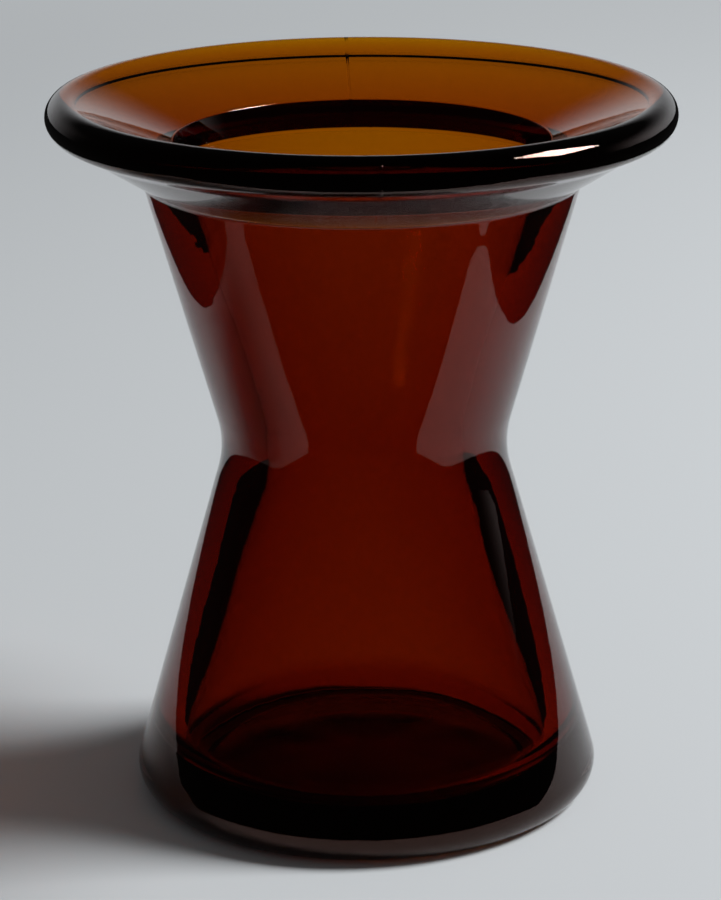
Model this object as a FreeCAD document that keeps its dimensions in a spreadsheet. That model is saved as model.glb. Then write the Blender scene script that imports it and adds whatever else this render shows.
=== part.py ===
"""A flared hourglass vase, pressed and blown in one piece of amber glass.

Millimetres, +Z up. The origin is the centre of the ring that the vase stands on.
The outside is one turned outline: a wide foot, a cone in to the waist, a cone out to the
neck, and a dished flare with a round bead on its edge. The chamber and the push-up under
the foot are cut out of it. The mould leaves a step under the bead and two pairs of seams:
the blow mould's, up to the neck, and the neck ring's, over the flare's underside and bead.
"""

import FreeCAD
import Part
import math
import os
import Sketcher

NODE = "vase_body"

# The driving sizes, in millimetres and degrees. alias: (value, what it is)
SIZES = {
    "total_height": (121.3, "standing ring to the crest of the bead"),
    "rim_diameter": (104.0, "across the bead"),
    "bead_radius": (3.2, "round edge of the flare"),
    "flare_drop": (14.2, "crest of the bead down to the neck crease"),
    "throat_drop": (7.6, "crest of the bead down to the throat's edge"),
    "neck_diameter": (72.8, "outside, at the neck crease"),
    "neck_wall": (5.2, "neck crease in to the throat's edge, measured level"),
    "waist_height": (61.6, "where the two cones would meet"),
    "waist_diameter": (47.0, "outside, across that corner"),
    "waist_wall": (8.5, "glass at the waist, measured level"),
    "foot_diameter": (82.2, "across the foot's corner before its heel is rounded"),
    "foot_wall": (7.4, "glass beside the floor, measured level"),
    "floor_thickness": (6.0, "standing ring up to the floor inside"),
    "ring_width": (5.0, "flat ring that the vase stands on"),
    "pushup_depth": (1.6, "hollow under the foot, at its middle"),
    "waist_blend": (17.4, "radius round the waist, outside"),
    "bore_blend": (24.0, "radius round the waist, inside"),
    "heel_blend": (4.6, "radius round the foot, outside"),
    "floor_blend": (5.0, "radius where the wall meets the floor"),
    "neck_blend": (1.5, "radius in the neck crease"),
    "throat_blend": (0.5, "radius on the throat's edge"),
    "step_depth": (0.15, "parting step under the bead"),
    "seam_width": (0.6, "a mould seam, across"),
    "seam_height": (0.15, "a mould seam, proud of the glass, measured level"),
    "seam_start": (6.0, "standing ring up to the foot of the blow mould's seam"),
    "seam_root": (2.0, "throat's edge down to the root of the neck ring's seam"),
    "ring_seam_turn": (-85.5, "neck ring's seams, from the XZ plane"),
    "body_seam_turn": (-91.0, "blow mould's seams, from the XZ plane"),
}

# What follows from them, in order. alias: (formula of aliases, what it is)
DERIVED = {
    "foot_reach": ("foot_diameter / 2", "radius of the foot's corner"),
    "waist_reach": ("waist_diameter / 2", "radius of the waist's corner"),
    "neck_reach": ("neck_diameter / 2", "radius of the neck crease"),
    "neck_level": ("total_height - flare_drop", "height of the neck crease"),
    "bead_reach": ("rim_diameter / 2 - bead_radius", "radius of the bead's centre line"),
    "bead_level": ("total_height - bead_radius", "height of the bead's centre line"),
    "step_level": ("bead_level - bead_radius + step_depth", "height of the parting step"),
    "throat_reach": ("neck_reach - neck_wall", "radius of the throat"),
    "throat_level": ("total_height - throat_drop", "height of the throat's edge"),
    "dish_run": ("bead_reach - throat_reach", "throat's edge out to the bead's centre"),
    "dish_rise": ("bead_level - throat_level", "throat's edge up to the bead's centre"),
    "dish_sight": (
        "sqrt(dish_run ^ 2 + dish_rise ^ 2 - bead_radius ^ 2)",
        "throat's edge to where the dish touches the bead",
    ),
    "dish_share": (
        "dish_sight / (dish_run ^ 2 + dish_rise ^ 2)",
        "scales the two cells below",
    ),
    "touch_reach": (
        "throat_reach + dish_share * (dish_run * dish_sight - dish_rise * bead_radius)",
        "radius where the dish touches the bead",
    ),
    "touch_level": (
        "throat_level + dish_share * (dish_rise * dish_sight + dish_run * bead_radius)",
        "height where the dish touches the bead",
    ),
    "foot_slope": ("(foot_reach - waist_reach) / waist_height", "lower cone, out per up"),
    "heel_run": (
        "heel_blend * (sqrt(1 + foot_slope ^ 2) + foot_slope)",
        "how far the heel's radius runs in under the foot",
    ),
    "pushup_reach": ("foot_reach - heel_run - ring_width", "radius of the push-up"),
    "pushup_ball": (
        "(pushup_reach ^ 2 + pushup_depth ^ 2) / (2 * pushup_depth)",
        "radius of the ball that the push-up is part of",
    ),
    "bore_waist": ("waist_reach - waist_wall", "radius inside, at the waist's corner"),
    "bore_foot": (
        "foot_reach - floor_thickness * foot_slope - foot_wall",
        "radius inside, at the floor's corner",
    ),
    "seam_foot": (
        "foot_reach - seam_start * foot_slope + seam_height",
        "radius where the blow mould's seam starts",
    ),
    "seam_waist": ("waist_reach + seam_height", "radius of its corner at the waist"),
    "seam_neck": ("neck_reach + seam_height", "radius of both seams at the neck"),
    "seam_lip": ("bead_reach + seam_height", "radius where the ring's seam meets the bead"),
    "seam_depth": ("throat_level - seam_root", "height of the ring's seam at its root"),
    "seam_disc": ("bead_radius - seam_height", "radius of its disc in the bead"),
    "seam_bead": ("bead_reach + 2 * seam_height", "radius of that disc's centre"),
}

ORIGIN, UPRIGHT, LEVEL = (-1, 1), -2, -1  # a sketch's own point and its two axes
START, END, CENTRE = 1, 2, 3

doc = FreeCAD.newDocument("vase")


def fill_sheet():
    """The driving sizes as plain numbers and, below them, the formulas that follow."""
    cells = [(alias, str(value), note) for alias, (value, note) in SIZES.items()]
    cells += [(alias, "=" + formula, note) for alias, (formula, note) in DERIVED.items()]
    made = doc.addObject("Spreadsheet::Sheet", "sizes")
    for row, (alias, content, note) in enumerate(cells, start=1):
        made.set(f"A{row}", alias)
        made.set(f"B{row}", content)
        made.setAlias(f"B{row}", alias)
        made.set(f"C{row}", note)
    doc.recompute()
    return made


sheet = fill_sheet()
body = doc.addObject("PartDesign::Body", NODE)
body.Label = NODE


def size(alias):
    """The number that a cell holds, or zero where a point lies on an axis."""
    return float(getattr(sheet, alias)) if alias else 0.0


def origin_feature(role):
    """One of the body's own planes or axes."""
    return next(f for f in body.Origin.OriginFeatures if f.Role == role)


def new_sketch(name, turn=None):
    """A sketch on the XZ plane, its own Y along the axis, turned about it by a cell."""
    sketch = body.newObject("Sketcher::SketchObject", name)
    sketch.AttachmentSupport = [(origin_feature("XZ_Plane"), "")]
    sketch.MapMode = "FlatFace"
    if turn:
        about_axis = FreeCAD.Rotation(FreeCAD.Vector(0, 1, 0), size(turn))
        sketch.AttachmentOffset = FreeCAD.Placement(FreeCAD.Vector(), about_axis)
        sketch.setExpression("AttachmentOffset.Rotation.Angle", f"sizes.{turn}")
    return sketch


def tie(sketch, alias, *constraint):
    """Adds a constraint whose value is a cell."""
    index = sketch.addConstraint(Sketcher.Constraint(*constraint, size(alias)))
    sketch.renameConstraint(index, f"{alias}_{index}")
    sketch.setExpression(f"Constraints.{alias}_{index}", f"sizes.{alias}")


def hold(sketch, edge, end, reach, level):
    """Holds a point at one cell's distance from the axis and at another's height."""
    for kind, alias, axis in (("DistanceX", reach, UPRIGHT), ("DistanceY", level, LEVEL)):
        if alias:
            tie(sketch, alias, kind, *ORIGIN, edge, end)
        else:
            sketch.addConstraint(Sketcher.Constraint("PointOnObject", edge, end, axis))


def round_corner(sketch, before, after, place, radius_alias):
    """An arc between two lines that stop short of a corner, which stays as a point."""
    arrive, leave = (sketch.Geometry[line] for line in (before, after))
    radius = size(radius_alias)
    way_in = (arrive.EndPoint - arrive.StartPoint).normalize()
    way_out = (leave.EndPoint - leave.StartPoint).normalize()
    left_turn = way_in.cross(way_out).z > 0
    inward = FreeCAD.Vector(-way_in.y, way_in.x, 0) * (radius if left_turn else -radius)
    middle = arrive.EndPoint + inward
    ends = [arrive.EndPoint - middle, leave.StartPoint - middle]
    angles = [math.atan2(end.y, end.x) for end in (ends if left_turn else ends[::-1])]
    circle = Part.Circle(middle, FreeCAD.Vector(0, 0, 1), radius)
    arc = sketch.addGeometry(Part.ArcOfCircle(circle, *angles))
    arc_in, arc_out = (START, END) if left_turn else (END, START)
    sketch.addConstraint(Sketcher.Constraint("Tangent", before, END, arc, arc_in))
    sketch.addConstraint(Sketcher.Constraint("Tangent", after, START, arc, arc_out))
    tie(sketch, radius_alias, "Radius", arc)
    corner = sketch.addGeometry(Part.Point(place), True)
    for line in (before, after):
        sketch.addConstraint(Sketcher.Constraint("PointOnObject", corner, START, line))
    return corner


def outline(sketch, corners):
    """A closed run of lines through (reach, level) corners; a third alias rounds one."""
    places = [FreeCAD.Vector(size(reach), size(level), 0) for reach, level, *_ in corners]
    rounds = [size(rest[0]) if rest else 0.0 for _, _, *rest in corners]
    ways = [(b - a).normalize() for a, b in zip(places, places[1:] + places[:1])]
    cuts = [
        radius * math.tan(way_in.getAngle(way_out) / 2)
        for radius, way_in, way_out in zip(rounds, ways[-1:] + ways, ways)
    ]
    lines = [
        sketch.addGeometry(Part.LineSegment(a + way * cut, b - way * next_cut))
        for a, b, way, cut, next_cut in zip(
            places, places[1:] + places[:1], ways, cuts, cuts[1:] + cuts[:1]
        )
    ]
    for before, after, place, (reach, level, *rest) in zip(
        lines[-1:] + lines, lines, places, corners
    ):
        if rest:
            held = round_corner(sketch, before, after, place, rest[0])
        else:
            held = after
            join = Sketcher.Constraint("Coincident", before, END, after, START)
            sketch.addConstraint(join)
        hold(sketch, held, START, reach, level)
    return sketch


def feature(kind, name, profile, settings, cells=()):
    """A PartDesign feature on a sketch, whose volume has to change the way its kind says."""
    before = body.Shape.Volume if body.Tip else 0.0
    made = body.newObject(f"PartDesign::{kind}", name)
    made.Profile = profile
    for setting, value in settings.items():
        setattr(made, setting, value)
    for setting, alias in cells:
        made.setExpression(setting, f"sizes.{alias}")
    doc.recompute()
    gained = body.Shape.Volume - before
    if (gained < 0) != (kind == "Groove") or abs(gained) < 1e-3:
        raise RuntimeError(f"{name} changed the volume by {gained:.3f}")
    return made


def turned(kind, name, sketch):
    """A sketch turned all the way round the vase's axis."""
    return feature(kind, name, sketch, {"ReferenceAxis": (sketch, ["V_Axis"]), "Angle": 360.0})


def seam_plate(name, sketch):
    """A sketch made a thin plate, half of its width to each side."""
    return feature("Pad", name, sketch, {"Midplane": True}, [("Length", "seam_width")])


def both_sides(name, plates):
    """The same plates again across the axis, because a mould opens in two halves."""
    pattern = body.newObject("PartDesign::PolarPattern", name)
    pattern.Originals = plates
    pattern.Axis = (origin_feature("Z_Axis"), [""])
    pattern.Angle = 360.0
    pattern.Occurrences = 2
    body.Tip = pattern
    doc.recompute()
    return pattern


def outside():
    """The glass as if it were solid, from the standing ring to the dish of the flare."""
    sketch = outline(
        new_sketch("outside_outline"),
        [
            (None, None),
            ("foot_reach", None, "heel_blend"),
            ("waist_reach", "waist_height", "waist_blend"),
            ("neck_reach", "neck_level", "neck_blend"),
            ("bead_reach", "step_level"),
            ("bead_reach", "bead_level"),
            ("touch_reach", "touch_level"),
            ("throat_reach", "throat_level"),
            (None, "throat_level"),
        ],
    )
    turned("Revolution", "outside", sketch)


def bead():
    """The round edge: a circle that the dish runs into without a break."""
    sketch = new_sketch("bead_outline")
    add_circle(sketch, "bead_reach", "bead_level", "bead_radius")
    turned("Revolution", "bead", sketch)


def add_circle(sketch, reach, level, radius):
    """A circle round a held point."""
    place = FreeCAD.Vector(size(reach), size(level), 0)
    circle = Part.Circle(place, FreeCAD.Vector(0, 0, 1), size(radius))
    edge = sketch.addGeometry(circle)
    hold(sketch, edge, CENTRE, reach, level)
    tie(sketch, radius, "Radius", edge)


def blow_mould_seams():
    """Low ridges up both cones, from above the heel to the neck crease."""
    sketch = outline(
        new_sketch("blow_seam_outline", "body_seam_turn"),
        [
            (None, "seam_start"),
            ("seam_foot", "seam_start"),
            ("seam_waist", "waist_height", "waist_blend"),
            ("seam_neck", "neck_level"),
            (None, "neck_level"),
        ],
    )
    both_sides("blow_seams", [seam_plate("blow_seam", sketch)])


def neck_ring_seams():
    """Low ridges up the flare's underside and round the outer face of the bead."""
    under = outline(
        new_sketch("ring_seam_outline", "ring_seam_turn"),
        [
            (None, "neck_level"),
            ("seam_neck", "neck_level"),
            ("seam_lip", "step_level"),
            ("bead_reach", "bead_level"),
            ("throat_reach", "seam_depth"),
            (None, "seam_depth"),
        ],
    )
    over = new_sketch("bead_seam_outline", "ring_seam_turn")
    add_circle(over, "seam_bead", "bead_level", "seam_disc")
    plates = [seam_plate("ring_seam", under), seam_plate("bead_seam", over)]
    both_sides("ring_seams", plates)


def chamber():
    """The inside, from the rounded floor through the waist to the throat."""
    sketch = outline(
        new_sketch("chamber_outline"),
        [
            (None, "floor_thickness"),
            ("bore_foot", "floor_thickness", "floor_blend"),
            ("bore_waist", "waist_height", "bore_blend"),
            ("throat_reach", "throat_level"),
            ("throat_reach", "total_height"),
            (None, "total_height"),
        ],
    )
    turned("Groove", "chamber", sketch)


def push_up():
    """The shallow hollow underneath, which leaves a flat ring to stand on."""
    sketch = new_sketch("push_up_outline")
    rise, reach, ball = (size(a) for a in ("pushup_depth", "pushup_reach", "pushup_ball"))
    middle = FreeCAD.Vector(0, rise - ball, 0)
    circle = Part.Circle(middle, FreeCAD.Vector(0, 0, 1), ball)
    level_line = Part.LineSegment(FreeCAD.Vector(), FreeCAD.Vector(reach, 0, 0))
    start = math.atan2(ball - rise, reach)
    dome = sketch.addGeometry(Part.ArcOfCircle(circle, start, math.pi / 2))
    under = sketch.addGeometry(level_line)
    axis = sketch.addGeometry(Part.LineSegment(FreeCAD.Vector(0, rise, 0), FreeCAD.Vector()))
    for one, one_end, other, other_end in (
        (under, END, dome, START),
        (dome, END, axis, START),
        (axis, END, under, START),
    ):
        sketch.addConstraint(
            Sketcher.Constraint("Coincident", one, one_end, other, other_end)
        )
    hold(sketch, under, START, None, None)
    hold(sketch, under, END, "pushup_reach", None)
    hold(sketch, axis, START, None, "pushup_depth")
    sketch.addConstraint(Sketcher.Constraint("PointOnObject", dome, CENTRE, UPRIGHT))
    turned("Groove", "push_up", sketch)


def soften_throat():
    """Rounds the edge where the dish drops into the throat, as fire polishing does."""
    base = body.Tip
    edges = [
        f"Edge{number}"
        for number, edge in enumerate(base.Shape.Edges, start=1)
        if not edge.Degenerated
        and isinstance(edge.Curve, Part.Circle)
        and abs(edge.Curve.Radius - size("throat_reach")) < 1e-4
        and abs(edge.Curve.Center.z - size("throat_level")) < 1e-4
    ]
    fillet = body.newObject("PartDesign::Fillet", "throat_edge")
    fillet.Base = (base, edges)
    fillet.setExpression("Radius", "sizes.throat_blend")
    doc.recompute()


outside()
bead()
blow_mould_seams()
neck_ring_seams()
chamber()
push_up()
soften_throat()

failed = [o.Name for o in doc.Objects if "Invalid" in o.State or "Error" in o.State]
if failed:
    raise RuntimeError(f"not built: {failed}")
if body.Shape.isNull() or not body.Shape.isValid() or len(body.Shape.Solids) != 1:
    raise RuntimeError("the vase is not one valid solid")

os.makedirs("parts", exist_ok=True)
body.Shape.exportStep(f"parts/{body.Label}.step")
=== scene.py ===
"""A flared hourglass vase in amber glass, pressed and blown in one piece, on a studio sheet.

The glass is one closed surface: an outline of straight runs and arcs, turned about the axis on
a grid that is finer beside the mould seams, and then given those seams and the slow waves that
blowing leaves on the inside. Small bubbles, which glassmakers call seeds, lie in the wall. The
colour is all in the glass's depth, as in real amber glass.
"""

import math

import bpy
import numpy as np
from bpy.props import FloatProperty, FloatVectorProperty, IntProperty, PointerProperty
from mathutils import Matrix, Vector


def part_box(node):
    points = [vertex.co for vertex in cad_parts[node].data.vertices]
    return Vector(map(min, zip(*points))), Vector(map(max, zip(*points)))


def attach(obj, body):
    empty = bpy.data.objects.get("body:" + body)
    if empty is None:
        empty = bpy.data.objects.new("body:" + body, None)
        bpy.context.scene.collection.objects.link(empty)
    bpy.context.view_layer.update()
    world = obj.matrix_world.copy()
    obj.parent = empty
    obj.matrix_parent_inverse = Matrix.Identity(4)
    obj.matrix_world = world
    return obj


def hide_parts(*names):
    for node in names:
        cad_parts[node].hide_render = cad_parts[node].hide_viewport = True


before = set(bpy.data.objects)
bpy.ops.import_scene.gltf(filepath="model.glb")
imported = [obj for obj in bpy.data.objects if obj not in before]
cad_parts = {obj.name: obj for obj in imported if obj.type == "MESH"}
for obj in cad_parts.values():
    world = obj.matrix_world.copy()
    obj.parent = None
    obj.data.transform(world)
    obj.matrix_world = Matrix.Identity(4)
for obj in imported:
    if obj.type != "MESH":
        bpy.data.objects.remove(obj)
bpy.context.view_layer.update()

bl_info = {
    "name": "Amber hourglass vase",
    "version": (1, 0, 0),
    "blender": (4, 5, 0),
    "location": "View3D > Sidebar > Vase",
    "description": "Makes a flared hourglass vase of amber glass and a studio to see it in",
    "category": "Add Mesh",
}

MM = 0.001
CAD_LOW, CAD_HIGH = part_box("vase_body")

LINE_STEP = 3.0 * MM  # rows along a straight stretch of the outline
ARC_STEP = math.radians(5)  # rows round an arc of the outline
COLUMN_STEP = math.radians(1.5)  # columns away from the seams
FINE_STEP = math.radians(0.12)  # columns beside the seams
FINE_REACH = math.radians(1.0)  # how far to each side of a seam they run

SEAM_RUN_IN = 1.0 * MM  # length over which a blow mould's seam rises to its full height
SIDEWAYS = 0.2  # how far outwards the bead has to face for a seam to reach its full height
WAVE_DEPTH = 15 * MM  # how far below the neck crease the waves reach their full height
WAVE_REACH = 20 * MM  # how far from the axis they do
WAVES = (  # share of the height, crests round the axis, climb for a radian in mm, and phase
    (1.0, 3, 13, 0.0),
    (0.6, 5, -8, 1.3),
    (0.4, 9, 5, 2.1),
)

SEED_DRAW = 7  # which random draw the seeds' places and sizes come from
SEED_SMALLEST = 0.4  # the smallest seed, as a share of the largest
SEED_STRETCH = 1.6  # height over width
SEED_RINGS, SEED_SIDES = 5, 10  # a seed's rings between its poles, and the points in each
SEED_CLEAR_FOOT = 12 * MM  # no seeds lower than this
SEED_CLEAR_NECK = 8 * MM  # and none this close under the neck crease
SEED_DEPTHS = (1.5 * MM, 4.5 * MM)  # nearest and farthest in from the outside cones

FLOOR_SIDE = 6.0  # metres
FLOOR_FADE = (0.5, 1.2)  # metres from the vase over which the floor turns into the backdrop
BACKDROP_TOP = (0.45, 0.1)  # upward part of a direction, from off the backdrop to on it
BACKDROP_BACK = (0.1, 0.7)  # backward part of a direction, likewise
BACKDROP_LEFT = (-0.9, -0.3)  # rightward part of a direction, likewise

CAMERA_PLACE = (13.35 * MM, -552.6 * MM, 232.8 * MM)
CAMERA_DIP = math.radians(17.4)  # below level
CAMERA_LENS, CAMERA_SENSOR = 136.6, 36  # mm
CAMERA_SHIFT = -0.092  # sideways, as a share of the picture's longer side
CAMERA_REACH = (0.01, 20)  # metres, nearest and farthest

MIX_SHARE, MIX_FIRST, MIX_SECOND, MIX_RESULT = 0, 6, 7, 2  # a colour Mix node's sockets


def length(name, description, default_mm):
    """A size property in metres, given in millimetres."""
    return FloatProperty(name=name, description=description, default=default_mm * MM, unit="LENGTH")


def angle(name, description, default_degrees):
    """An angle property in radians, given in degrees."""
    return FloatProperty(
        name=name, description=description, default=math.radians(default_degrees), unit="ROTATION"
    )


def linear(hex_colour):
    """An sRGB hex colour as the linear red, green and blue that nodes take."""
    parts = [int(hex_colour.lstrip("#")[i : i + 2], 16) / 255 for i in (0, 2, 4)]
    return [p / 12.92 if p <= 0.04045 else ((p + 0.055) / 1.055) ** 2.4 for p in parts]


def colour(name, description, hex_colour):
    """A colour property, given as an sRGB hex colour."""
    return FloatVectorProperty(
        name=name, description=description, default=linear(hex_colour), subtype="COLOR",
        min=0.0, max=1.0,
    )


class VaseShape(bpy.types.PropertyGroup):
    """Sizes of the glass, which the outline is drawn from"""
    rim_diameter: FloatProperty(
        name="Rim diameter", description="Across the bead", unit="LENGTH",
        default=CAD_HIGH[0] - CAD_LOW[0],
    )
    total_height: FloatProperty(
        name="Total height", description="Standing ring to the crest of the bead",
        unit="LENGTH", default=CAD_HIGH[2],
    )
    bead_radius: length("Bead radius", "Round edge of the flare", 3.2)
    flare_drop: length("Flare drop", "Crest of the bead down to the neck crease", 14.2)
    throat_drop: length("Throat drop", "Crest of the bead down to the throat's edge", 7.6)
    neck_diameter: length("Neck diameter", "Outside, at the neck crease", 72.8)
    neck_wall: length("Neck wall", "Neck crease in to the throat's edge", 5.2)
    waist_height: length("Waist height", "Where the two cones would meet", 61.6)
    waist_diameter: length("Waist diameter", "Outside, across that corner", 47.0)
    waist_wall: length("Waist wall", "Glass at the waist, measured level", 8.5)
    foot_diameter: length("Foot diameter", "Across the foot's corner, before rounding", 82.2)
    foot_wall: length("Foot wall", "Glass beside the floor, measured level", 7.4)
    floor_thickness: length("Floor thickness", "Standing ring up to the floor inside", 6.0)
    ring_width: length("Ring width", "Flat ring that the vase stands on", 5.0)
    pushup_depth: length("Push-up depth", "Hollow under the foot, at its middle", 1.6)
    waist_blend: length("Waist blend", "Radius round the waist, outside", 17.4)
    bore_blend: length("Bore blend", "Radius round the waist, inside", 24.0)
    heel_blend: length("Heel blend", "Radius round the foot, outside", 4.6)
    floor_blend: length("Floor blend", "Radius where the wall meets the floor", 5.0)
    neck_blend: length("Neck blend", "Radius in the neck crease", 1.5)
    throat_blend: length("Throat blend", "Radius on the throat's edge", 0.5)
    step_depth: length("Step depth", "Parting step under the bead", 0.03)
    seam_width: length("Seam width", "The neck ring's seams, across", 0.6)
    seam_height: length("Seam height", "The neck ring's seams, proud of the glass", 0.15)
    low_seam_width: length("Low seam width", "The blow mould's seams, fire polished, across", 1.2)
    low_seam_height: length("Low seam height", "The same seams, proud of the glass", 0.05)
    seam_start: length("Seam start", "Height where the blow mould's seam starts", 6.0)
    ring_seam_turn: angle("Ring seam turn", "Neck ring's seams, about the axis", -85.5)
    body_seam_turn: angle("Body seam turn", "Blow mould's seams, about the axis", -91.0)
    wave_height: length("Wave height", "Slow waves on the inside", 0.05)


class VaseFinish(bpy.types.PropertyGroup):
    """What the glass is like"""
    depth_colour: colour("Depth colour", "What white light keeps through the sample depth", "#C67E03")
    sample_depth: length("Sample depth", "Glass that gives that colour", 5.0)
    glass_ior: FloatProperty(name="IOR", description="Soda-lime glass", default=1.52, min=1.0)
    glass_roughness: FloatProperty(
        name="Roughness", description="Fire-polished glass", default=0.0, min=0.0, max=1.0,
    )
    skin_size: length("Skin size", "Across one ripple of the cooled skin", 4.0)
    skin_depth: length("Skin depth", "Depth of the ripples in the cooled skin", 0.012)
    seed_count: IntProperty(name="Seeds", description="Small bubbles in the glass", default=40, min=0)
    seed_radius: length("Seed radius", "The largest of the bubbles", 0.14)
    reflection_colour: colour("Reflection colour", "Tint where the glass faces the eye", "#FFC4B4")


class VaseStudio(bpy.types.PropertyGroup):
    """What stands round the vase"""
    sheet_colour: colour("Sheet colour", "Pale paper under and behind the vase", "#BDC1C4")
    room_level: FloatProperty(
        name="Room level", description="Brightness of the room that fills the shadow", default=0.12,
    )
    gloss_level: FloatProperty(
        name="Gloss level", description="Brightness of the room as the glass shows it", default=0.01,
    )
    sheet_half_width: length("Sheet half width", "Middle of the sheet to its side edges", 154)
    sheet_corner: length("Sheet corner", "Radius of the sheet's round corners", 24)
    sheet_offset: length("Sheet offset", "Middle of the vase to the middle of the sheet", -5)
    sheet_front: length("Sheet front", "Middle of the vase to the sheet's front edge", 67)
    lamp_distance: length("Lamp distance", "Foot of the vase to the lamp", 1700)
    lamp_size: length("Lamp size", "Side of the square lamp", 600)
    lamp_height: angle("Lamp height", "Lamp above the floor", 46)
    lamp_turn: angle("Lamp turn", "Lamp round from the right, towards the back", 4.5)


def line(start, end):
    """Points from one place to another, evenly spaced and no more than a step apart."""
    start, end = np.asarray(start), np.asarray(end)
    count = max(2, math.ceil(np.linalg.norm(end - start) / LINE_STEP) + 1)
    return start + (end - start) * np.linspace(0, 1, count)[:, None]


def arc(middle, radius, start, end):
    """Points on a circle: the middle plus the radius times the cosine and sine of each turn."""
    count = max(4, math.ceil(abs(end - start) / ARC_STEP) + 1)
    turn = np.linspace(start, end, count)
    return np.asarray(middle) + radius * np.stack([np.cos(turn), np.sin(turn)], axis=1)


def rounded(before, corner, after, radius):
    """The arc that touches both lines of a corner.

    Its middle lies on the corner's bisector, the radius over the sine of half the corner away.
    """
    corner = np.asarray(corner)
    back, ahead = np.asarray(before) - corner, np.asarray(after) - corner
    back, ahead = back / np.linalg.norm(back), ahead / np.linalg.norm(ahead)
    bisector = (back + ahead) / np.linalg.norm(back + ahead)
    half = math.acos(np.clip(back @ ahead, -1, 1)) / 2
    middle = corner + bisector * radius / math.sin(half)
    reach = radius / math.tan(half)
    ends = [corner + way * reach - middle for way in (back, ahead)]
    start, end = (math.atan2(y, x) for x, y in ends)
    turn = (end - start + math.pi) % (2 * math.pi) - math.pi
    return arc(middle, radius, start, start + turn)


def bead_arc(shape, neck, dish):
    """The bead, from the parting step under it, round its outside, to where the dish touches it.

    The flare's underside ends a step's depth above the bead's lowest point. The tangent from
    the throat's edge leaves the circle square to the radius.
    """
    middle = np.array([shape.rim_diameter / 2 - shape.bead_radius,
                       shape.total_height - shape.bead_radius])
    radius = shape.bead_radius
    lip = middle - [0, radius - shape.step_depth]
    way = (np.asarray(neck) - lip) / np.linalg.norm(np.asarray(neck) - lip)
    along = (middle - lip) @ way
    beside = np.linalg.norm(middle - lip - along * way)
    meets = lip + way * (along + math.sqrt(radius ** 2 - beside ** 2)) - middle
    sight = np.asarray(dish) - middle
    touch = math.atan2(sight[1], sight[0]) - math.acos(radius / np.linalg.norm(sight))
    start = math.atan2(meets[1], meets[0])
    return arc(middle, radius, start, touch % (2 * math.pi))


def outline(shape):
    """The vase's closed outline as rows of (reach, level), and what each row belongs to.

    It runs from the push-up out under the foot, up the outside, over the bead, down the dish
    and the throat, and in across the floor.
    """
    neck = (shape.neck_diameter / 2, shape.total_height - shape.flare_drop)
    waist = (shape.waist_diameter / 2, shape.waist_height)
    foot = (shape.foot_diameter / 2, 0.0)
    throat = (neck[0] - shape.neck_wall, shape.total_height - shape.throat_drop)
    slope = (foot[0] - waist[0]) / waist[1]
    heel_run = shape.heel_blend * (math.hypot(1, slope) + slope)
    pushup = foot[0] - heel_run - shape.ring_width
    ball = (pushup ** 2 + shape.pushup_depth ** 2) / (2 * shape.pushup_depth)
    ball_edge = math.atan2(ball - shape.pushup_depth, pushup)
    bore_waist = (waist[0] - shape.waist_wall, waist[1])
    bore_foot = (foot[0] - shape.floor_thickness * slope - shape.foot_wall, shape.floor_thickness)
    bead = bead_arc(shape, neck, throat)
    runs = [
        ("under", arc((0, shape.pushup_depth - ball), ball, math.pi / 2, ball_edge)),
        ("body", rounded((0, 0), foot, waist, shape.heel_blend)),
        ("body", rounded(foot, waist, neck, shape.waist_blend)),
        ("body", rounded(waist, neck, bead[0], shape.neck_blend)),
        ("ring", bead),
        ("inside", rounded(bead[-1], throat, bore_waist, shape.throat_blend)),
        ("inside", rounded(throat, bore_waist, bore_foot, shape.bore_blend)),
        ("inside", rounded(bore_waist, bore_foot, (0, bore_foot[1]), shape.floor_blend)),
        ("inside", np.array([(0, bore_foot[1])])),
    ]
    rows, kinds = [runs[0][1]], ["under"] * len(runs[0][1])
    for (_, last), (kind, run) in zip(runs, runs[1:]):
        between = line(last[-1], run[0])[1:-1]
        rows += [between, run]
        kinds += [kind] * (len(between) + len(run))
    return np.concatenate(rows), np.array(kinds)


def columns(shape):
    """Angles about the axis: even steps, and fine ones to each side of every seam."""
    seams = [turn + half for turn in (shape.ring_seam_turn, shape.body_seam_turn)
             for half in (0, math.pi)]
    fine = [seam + np.arange(-FINE_REACH, FINE_REACH, FINE_STEP) for seam in seams]
    even = np.arange(0, 2 * math.pi, COLUMN_STEP)
    near = np.min([np.abs((even - seam + math.pi) % (2 * math.pi) - math.pi) for seam in seams],
                  axis=0)
    turns = np.sort(np.concatenate(fine + [even[near > FINE_REACH]]) % (2 * math.pi))
    return turns[np.diff(turns, append=turns[0] + 2 * math.pi) > FINE_STEP / 4]


def ridge(turns, reach, seam_turn, width):
    """How far up a seam each point is: a cosine hump across the width, on both sides."""
    off = np.abs((turns[None, :] - seam_turn + math.pi / 2) % math.pi - math.pi / 2)
    across = np.clip(off * reach[:, None] / (width / 2), 0, 1)
    return (1 + np.cos(math.pi * across)) / 2


def ramp(values, start, end):
    """A smooth step from 0 at start to 1 at end."""
    share = np.clip((values - start) / (end - start), 0, 1)
    return share * share * (3 - 2 * share)


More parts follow.
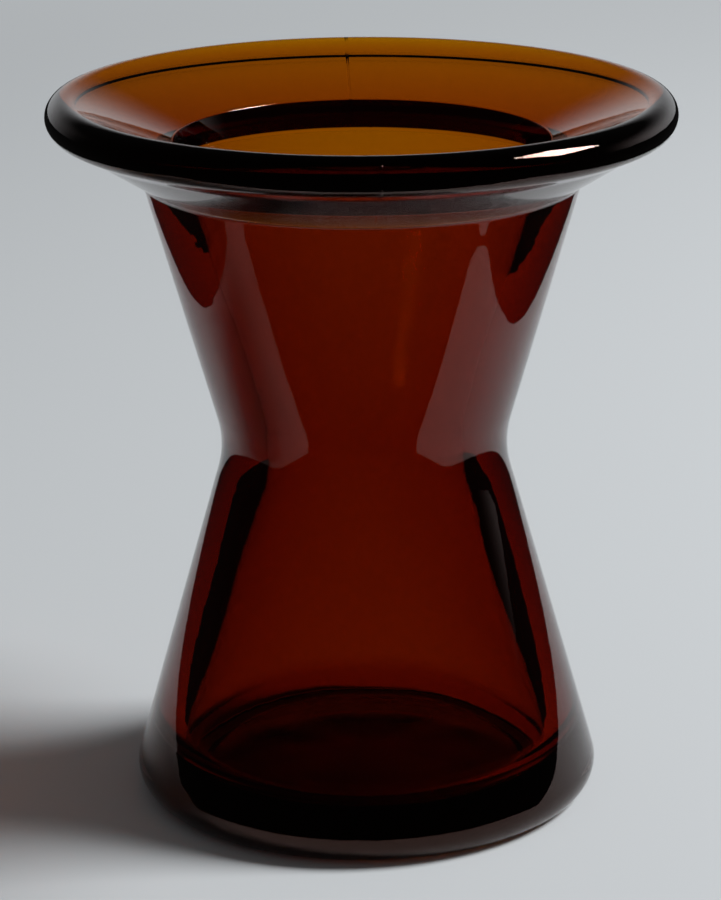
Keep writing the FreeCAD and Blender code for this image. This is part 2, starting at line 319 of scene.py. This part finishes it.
def turned_grid(shape):
    """The outline turned about the axis, and moved along its normals by seams and waves.

    Every point is (reach cos a, reach sin a, level). The seams are ridges on the outside, the
    blow mould's up to the neck and the neck ring's round the bead, fading out before its crest.
    The waves are sines that wind round the axis as they climb.
    """
    points, kinds = outline(shape)
    turns = columns(shape)
    reach, level = points[:, 0], points[:, 1]
    along = np.gradient(points, axis=0)
    along /= np.linalg.norm(along, axis=1, keepdims=True)
    normal = np.stack([along[:, 1], -along[:, 0]], axis=1)
    neck_level = shape.total_height - shape.flare_drop

    risen = ramp(level, shape.seam_start - SEAM_RUN_IN, shape.seam_start)
    body_share = (kinds == "body") * risen
    outward = ramp(normal[:, 0], -SIDEWAYS, SIDEWAYS)
    under_bead = level < shape.total_height - shape.bead_radius
    off_crest = ramp(level, shape.total_height, shape.total_height - shape.bead_radius / 2)
    ring_share = (kinds == "ring") * np.maximum(outward, under_bead) * off_crest
    blow_seams = ridge(turns, reach, shape.body_seam_turn, shape.low_seam_width)
    ring_seams = ridge(turns, reach, shape.ring_seam_turn, shape.seam_width)
    lift = (shape.low_seam_height * body_share[:, None] * blow_seams
            + shape.seam_height * ring_share[:, None] * ring_seams)
    inside = ((kinds == "inside") * ramp(neck_level - level, 0, WAVE_DEPTH)
              * ramp(reach, 0, WAVE_REACH))
    climb = level[:, None] / MM
    waves = sum(share * np.sin(crests * turns + climb / pitch + phase)
                for share, crests, pitch, phase in WAVES)
    lift = lift + shape.wave_height * inside[:, None] * waves
    reach = reach[:, None] + lift * normal[:, :1]
    level = level[:, None] + lift * normal[:, 1:]
    return np.stack([reach * np.cos(turns), reach * np.sin(turns), level + 0 * reach], axis=2)


def closed_faces(rings, count):
    """Faces of a form turned about an axis: quads between its rings and a fan at each end.

    Corner 0 is the first end, then come the rings, and the last corner is the other end. With
    the outline going outwards and up, they all face out.
    """
    index = 1 + np.arange(rings * count).reshape(rings, count)
    beside = np.roll(index, -1, axis=1)
    quads = np.stack([index[:-1], beside[:-1], beside[1:], index[1:]], axis=-1).reshape(-1, 4)
    first, last = np.zeros(count, int), np.full(count, 1 + rings * count)
    fans = [np.stack([first, beside[0], index[0]], axis=-1),
            np.stack([last, index[-1], beside[-1]], axis=-1)]
    return quads.tolist() + np.concatenate(fans).tolist()


def smooth_mesh(name, corners, faces):
    """A mesh with smooth shading."""
    mesh = bpy.data.meshes.new(name)
    mesh.from_pydata(corners.tolist(), [], faces)
    mesh.polygons.foreach_set("use_smooth", np.ones(len(faces), bool))
    mesh.update()
    return mesh


def vase_mesh(shape):
    """The turned grid as a closed mesh, whose first and last rows shrink to single points."""
    grid = turned_grid(shape)
    corners = np.concatenate([grid[:1, 0], grid[1:-1].reshape(-1, 3), grid[-1:, 0]])
    return smooth_mesh("amber_vase", corners, closed_faces(len(grid) - 2, grid.shape[1]))


def add_object(name, mesh, material):
    """A mesh in the scene at the origin, with one material."""
    mesh.materials.append(material)
    made = bpy.data.objects.new(name, mesh)
    bpy.context.collection.objects.link(made)
    return made


def new_material(name):
    """An empty node material: (material, its tree, its output node)."""
    material = bpy.data.materials.new(name)
    material.use_nodes = True
    tree = material.node_tree
    tree.nodes.clear()
    return material, tree, tree.nodes.new("ShaderNodeOutputMaterial")


def node(tree, kind, settings=(), inputs=(), outputs=()):
    """Adds a node. Inputs are values or (node, socket) links; outputs are (node, socket)."""
    made = tree.nodes.new("ShaderNode" + kind)
    for key, value in dict(settings).items():
        setattr(made, key, value)
    for socket, value in dict(inputs).items():
        if isinstance(value, tuple) and isinstance(value[0], bpy.types.Node):
            tree.links.new(value[0].outputs[value[1]], made.inputs[socket])
        else:
            made.inputs[socket].default_value = value
    for socket, (target, target_socket) in dict(outputs).items():
        tree.links.new(made.outputs[socket], target.inputs[target_socket])
    return made


def seed_places(shape, count):
    """Middles and shares of the largest size for the seeds.

    A middle is a level between the foot and the neck, any turn about the axis, and a depth in
    from the outside cones that keeps it clear of both skins.
    """
    neck_level = shape.total_height - shape.flare_drop
    random = np.random.default_rng(SEED_DRAW)
    level = random.uniform(SEED_CLEAR_FOOT, neck_level - SEED_CLEAR_NECK, count)
    turn = random.uniform(0, 2 * math.pi, count)
    share = random.uniform(SEED_SMALLEST, 1.0, count)
    depth = random.uniform(*SEED_DEPTHS, count)
    across = np.interp(level, [0, shape.waist_height, neck_level],
                       [shape.foot_diameter, shape.waist_diameter, shape.neck_diameter])
    reach = across / 2 - depth
    return np.stack([reach * np.cos(turn), reach * np.sin(turn), level], axis=-1), share


def seed_mesh(shape, finish):
    """Bubbles caught in the wall, each a ball stretched upwards as the glass was drawn.

    A ball's point is (sin u cos a, sin u sin a, stretch cos u), for u from the lower pole to
    the upper one and a round the axis.
    """
    middles, shares = seed_places(shape, finish.seed_count)
    tilt = np.linspace(math.pi, 0, SEED_RINGS + 2)[1:-1, None]
    around = np.linspace(0, 2 * math.pi, SEED_SIDES, endpoint=False)
    rings = np.stack(np.broadcast_arrays(
        np.sin(tilt) * np.cos(around), np.sin(tilt) * np.sin(around), SEED_STRETCH * np.cos(tilt),
    ), axis=-1)
    pole = [[0, 0, SEED_STRETCH]]
    ball = np.concatenate([np.negative(pole), rings.reshape(-1, 3), pole])
    radii = finish.seed_radius * shares[:, None, None]
    corners = (middles[:, None] + radii * ball).reshape(-1, 3)
    ball_faces = closed_faces(SEED_RINGS, SEED_SIDES)
    faces = [[corner + len(ball) * seed for corner in face]
             for seed in range(len(middles)) for face in ball_faces]
    return smooth_mesh("glass_seeds", corners, faces)


def trapped_air(finish):
    """Air in a bubble: clear, and bright at its edge because light turns back there."""
    material, tree, output = new_material("air trapped in glass")
    node(tree, "BsdfPrincipled", inputs={
        "Base Color": (1.0, 1.0, 1.0, 1.0),
        "Roughness": 0.0,
        "IOR": 1 / finish.glass_ior,
        "Transmission Weight": 1.0,
    }, outputs={"BSDF": (output, "Surface")})
    return material


def amber_glass(finish):
    """Iron and sulphur amber soda-lime glass, blown and fire polished.

    The surface is clear and bright, with a faint ripple from cooling that makes the edges of
    reflections waver. Colour comes only from depth: the single wall of the flare is orange, two
    walls of the body are red-brown, and the thick foot is nearly black. Where the glass faces
    the eye, its reflections look a little warm beside so deep a brown.
    """
    material, tree, output = new_material("amber soda-lime glass, fire polished")
    place = node(tree, "TexCoord")
    skin = node(tree, "TexNoise", inputs={
        "Vector": (place, "Object"), "Scale": 1 / finish.skin_size, "Detail": 2.0,
    })
    ripple = node(tree, "Bump", inputs={
        "Height": (skin, "Fac"), "Distance": finish.skin_depth, "Strength": 1.0,
    })
    node(tree, "BsdfPrincipled", inputs={
        "Base Color": (1.0, 1.0, 1.0, 1.0),
        "Normal": (ripple, "Normal"),
        "Specular Tint": (*finish.reflection_colour, 1.0),
        "Roughness": finish.glass_roughness,
        "IOR": finish.glass_ior,
        "Transmission Weight": 1.0,
    }, outputs={"BSDF": (output, "Surface")})
    loss = -np.log(np.array(finish.depth_colour)) / finish.sample_depth
    density = float(loss.max())
    node(tree, "VolumeAbsorption", inputs={
        "Color": (*(1 - loss / density), 1.0),
        "Density": density,
    }, outputs={"Volume": (output, "Volume")})
    return material


class VASE_OT_glass(bpy.types.Operator):
    """Makes the vase's glass"""
    bl_idname = "vase.glass"
    bl_label = "Glass"

    def execute(self, context):
        scene = context.scene
        vase = add_object("amber_vase", vase_mesh(scene.vase_shape),
                          amber_glass(scene.vase_finish))
        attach(vase, "root")
        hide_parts("vase_body")
        return {"FINISHED"}


class VASE_OT_seeds(bpy.types.Operator):
    """Makes the small bubbles in the glass"""
    bl_idname = "vase.seeds"
    bl_label = "Seeds"

    def execute(self, context):
        scene = context.scene
        seeds = add_object("glass_seeds", seed_mesh(scene.vase_shape, scene.vase_finish),
                           trapped_air(scene.vase_finish))
        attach(seeds, "root")
        return {"FINISHED"}


def maths(tree, operation, first, second=0.0):
    """What a Math node makes of two values, as a link for another node's input."""
    return node(tree, "Math", {"operation": operation}, {0: first, 1: second}), "Value"


def fade(tree, value, ends):
    """A smooth step from 0 at the first end to 1 at the second, as a link."""
    return node(tree, "MapRange", {"interpolation_type": "SMOOTHSTEP"},
                {"Value": value, "From Min": ends[0], "From Max": ends[1]}), "Result"


def straight_through(tree, path):
    """1 for a ray that has crossed glass without being turned back inside it, and else 0.

    Such a ray has as many crossings behind it as bounces of any kind.
    """
    turned = maths(tree, "SUBTRACT", (path, "Ray Depth"), (path, "Transmission Depth"))
    plain = maths(tree, "LESS_THAN", turned, 0.5)
    return maths(tree, "MULTIPLY", plain, (path, "Is Transmission Ray"))


def sheet_mask(tree, split, studio):
    """1 on the sheet and 0 beside it: straight side and front edges that meet in round corners.

    How far a place is past the corner's centre, sideways and forwards, is compared with the
    corner's radius.
    """
    sideways = maths(tree, "SUBTRACT", (split, "X"), studio.sheet_offset)
    sideways = maths(tree, "ABSOLUTE", sideways)
    sideways = maths(tree, "SUBTRACT", sideways, studio.sheet_half_width - studio.sheet_corner)
    sideways = maths(tree, "MAXIMUM", sideways)
    forwards = maths(tree, "SUBTRACT", studio.sheet_corner - studio.sheet_front, (split, "Y"))
    forwards = maths(tree, "MAXIMUM", forwards)
    both = node(tree, "CombineXYZ", inputs={"X": sideways, "Y": forwards})
    past = node(tree, "VectorMath", {"operation": "LENGTH"}, {0: (both, "Vector")})
    return maths(tree, "LESS_THAN", (past, "Value"), studio.sheet_corner)


def floor_material(studio):
    """Matt paper where the sheet lies, and a dark room around it.

    A camera sees the sheet's colour everywhere, and so does light that has gone straight
    through the glass, so the sheet's edges show only in reflections. Far off, the floor turns
    into the backdrop, so that no horizon shows.
    """
    material, tree, output = new_material("matt pale paper")
    place = node(tree, "TexCoord")
    split = node(tree, "SeparateXYZ", inputs={"Vector": (place, "Object")})
    on_sheet = sheet_mask(tree, split, studio)
    path = node(tree, "LightPath")
    seen = maths(tree, "MAXIMUM", straight_through(tree, path), (path, "Is Camera Ray"))
    pale = maths(tree, "MAXIMUM", on_sheet, seen)
    paper = node(tree, "BsdfDiffuse", inputs={"Color": (*studio.sheet_colour, 1.0)})
    dark = node(tree, "Emission", inputs={"Strength": studio.gloss_level})
    lit = node(tree, "MixShader", inputs={0: pale, 1: (dark, "Emission"), 2: (paper, "BSDF")})
    away = node(tree, "VectorMath", {"operation": "LENGTH"}, {0: (place, "Object")})
    haze = maths(tree, "MULTIPLY", fade(tree, (away, "Value"), FLOOR_FADE), seen)
    backdrop = node(tree, "Emission", inputs={"Color": (*studio.sheet_colour, 1.0)})
    node(tree, "MixShader",
         inputs={0: haze, 1: (lit, "Shader"), 2: (backdrop, "Emission")},
         outputs={"Shader": (output, "Surface")})
    return material


def floor_mesh():
    """A level square floor: the corners are half a side from the middle each way."""
    half = FLOOR_SIDE / 2
    corners = half * np.array([(-1, -1, 0), (1, -1, 0), (1, 1, 0), (-1, 1, 0)])
    return smooth_mesh("studio_sheet", corners, [[0, 1, 2, 3]])


def room_world(studio):
    """A dark neutral room with a pale backdrop low behind the vase, its edges soft.

    The backdrop ends softly at its top, at its left and beside the vase. Light that has gone
    straight through the glass sees it low down all round, and a camera sees it everywhere. The
    room is brighter to matt things than to the glass, so that it fills the shadow.
    """
    world = bpy.data.worlds.new("studio room")
    bpy.context.scene.world = world
    world.use_nodes = True
    tree = world.node_tree
    tree.nodes.clear()
    path = node(tree, "LightPath")
    place = node(tree, "TexCoord")
    split = node(tree, "SeparateXYZ", inputs={"Vector": (place, "Generated")})
    low = fade(tree, (split, "Z"), BACKDROP_TOP)
    right = fade(tree, (split, "X"), BACKDROP_LEFT)
    behind = fade(tree, (split, "Y"), BACKDROP_BACK)
    backdrop = maths(tree, "MULTIPLY", maths(tree, "MULTIPLY", low, right), behind)
    through = maths(tree, "MULTIPLY", low, straight_through(tree, path))
    seen = maths(tree, "MAXIMUM", through, (path, "Is Camera Ray"))
    pale = maths(tree, "MAXIMUM", backdrop, seen)
    room = node(tree, "MapRange", inputs={
        "Value": (path, "Is Diffuse Ray"),
        "To Min": studio.gloss_level,
        "To Max": studio.room_level,
    })
    shade = node(tree, "Mix", {"data_type": "RGBA"}, {
        MIX_SHARE: pale,
        MIX_FIRST: (room, "Result"),
        MIX_SECOND: (*studio.sheet_colour, 1.0),
    })
    back = node(tree, "Background", inputs={"Color": (shade, MIX_RESULT)})
    output = tree.nodes.new("ShaderNodeOutputWorld")
    tree.links.new(back.outputs[0], output.inputs[0])


def key_lamp(studio):
    """One square softbox, at the distance and size that give the floor its own colour.

    A square lamp of side s and power P lights a surface at distance d square on by P / (pi d^2),
    so this power gives pi at the foot of the vase after the slant is allowed for.
    """
    data = bpy.data.lights.new("softbox", "AREA")
    data.size = studio.lamp_size
    slant = math.sin(studio.lamp_height)
    data.energy = math.pi ** 2 * studio.lamp_distance ** 2 / slant
    lamp = bpy.data.objects.new("softbox", data)
    lamp.visible_transmission = False  # its glints are reflections, never seen through a wall
    flat = math.cos(studio.lamp_height)
    lamp.location = [
        studio.lamp_distance * flat * math.cos(studio.lamp_turn),
        studio.lamp_distance * flat * math.sin(studio.lamp_turn),
        studio.lamp_distance * slant,
    ]
    lamp.rotation_mode = "QUATERNION"
    lamp.rotation_quaternion = lamp.location.to_track_quat("Z", "Y")
    bpy.context.collection.objects.link(lamp)


class VASE_OT_studio(bpy.types.Operator):
    """Makes the floor with its sheet, the room and the lamp"""
    bl_idname = "vase.studio"
    bl_label = "Studio"

    def execute(self, context):
        studio = context.scene.vase_studio
        sheet = add_object("studio_sheet", floor_mesh(), floor_material(studio))
        room_world(studio)
        key_lamp(studio)
        context.scene.view_settings.view_transform = "Standard"
        return {"FINISHED"}


class VASE_OT_camera(bpy.types.Operator):
    """Makes the camera, in front of the vase and a little above it"""
    bl_idname = "vase.camera"
    bl_label = "Camera"

    def execute(self, context):
        data = bpy.data.cameras.new("camera")
        data.sensor_width = CAMERA_SENSOR
        data.lens = CAMERA_LENS
        data.shift_x = CAMERA_SHIFT
        data.clip_start, data.clip_end = CAMERA_REACH
        camera = bpy.data.objects.new("camera", data)
        camera.location = CAMERA_PLACE
        camera.rotation_euler = (math.pi / 2 - CAMERA_DIP, 0, 0)
        context.collection.objects.link(camera)
        context.scene.camera = camera
        return {"FINISHED"}


class VASE_PT_panel(bpy.types.Panel):
    """The vase's sizes, finish and studio, and the buttons that make them"""
    bl_label = "Vase"
    bl_idname = "VASE_PT_panel"
    bl_space_type = "VIEW_3D"
    bl_region_type = "UI"
    bl_category = "Vase"

    def draw(self, context):
        for made in OPERATORS:
            self.layout.operator(made.bl_idname)
        for group in (context.scene.vase_shape, context.scene.vase_finish,
                      context.scene.vase_studio):
            for name in group.__annotations__:
                self.layout.prop(group, name)


GROUPS = {"vase_shape": VaseShape, "vase_finish": VaseFinish, "vase_studio": VaseStudio}
OPERATORS = (VASE_OT_glass, VASE_OT_seeds, VASE_OT_studio, VASE_OT_camera)


def register():
    for made in (*GROUPS.values(), *OPERATORS, VASE_PT_panel):
        bpy.utils.register_class(made)
    for name, group in GROUPS.items():
        setattr(bpy.types.Scene, name, PointerProperty(type=group))


def unregister():
    for name in GROUPS:
        delattr(bpy.types.Scene, name)
    for made in (*GROUPS.values(), *OPERATORS, VASE_PT_panel):
        bpy.utils.unregister_class(made)


def main():
    """Makes the vase and its studio."""
    register()
    bpy.ops.vase.glass()
    bpy.ops.vase.seeds()
    bpy.ops.vase.studio()
    bpy.ops.vase.camera()


if __name__ == "__main__":
    main()
